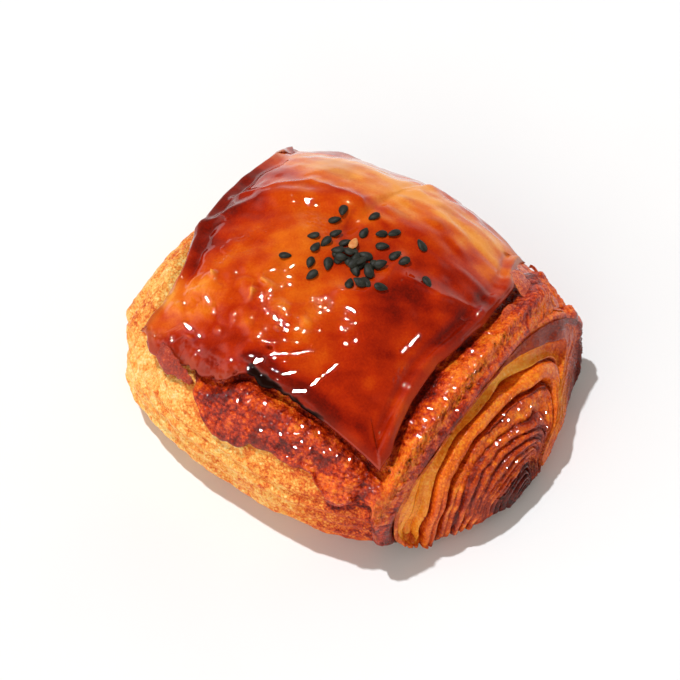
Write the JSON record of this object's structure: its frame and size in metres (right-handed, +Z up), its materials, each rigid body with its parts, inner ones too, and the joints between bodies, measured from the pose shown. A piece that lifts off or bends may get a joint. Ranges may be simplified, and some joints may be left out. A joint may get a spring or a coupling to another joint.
{
  "type": "laminated pastry",
  "caption": "Rolled laminated pastry, browned and coiled at its ends, with a square sheet of glazed dough and black sesame seeds baked on top.",
  "frame": {"origin": "centre of the bounding box on the surface the pastry stands on", "axes": "+X along the roll towards the open coil, -Y towards the pale front side, +Z up"},
  "size_m": [0.1091, 0.0948, 0.0464],
  "materials": {
    "baked_dough": "matt, golden to red-brown baked dough",
    "glazed_dough": "glossy sugar glaze over red-brown baked dough"
  },
  "bodies": {
    "root": {"rolled_pastry": "baked_dough", "glazed_top_sheet": "glazed_dough"}
  },
  "joints": []
}
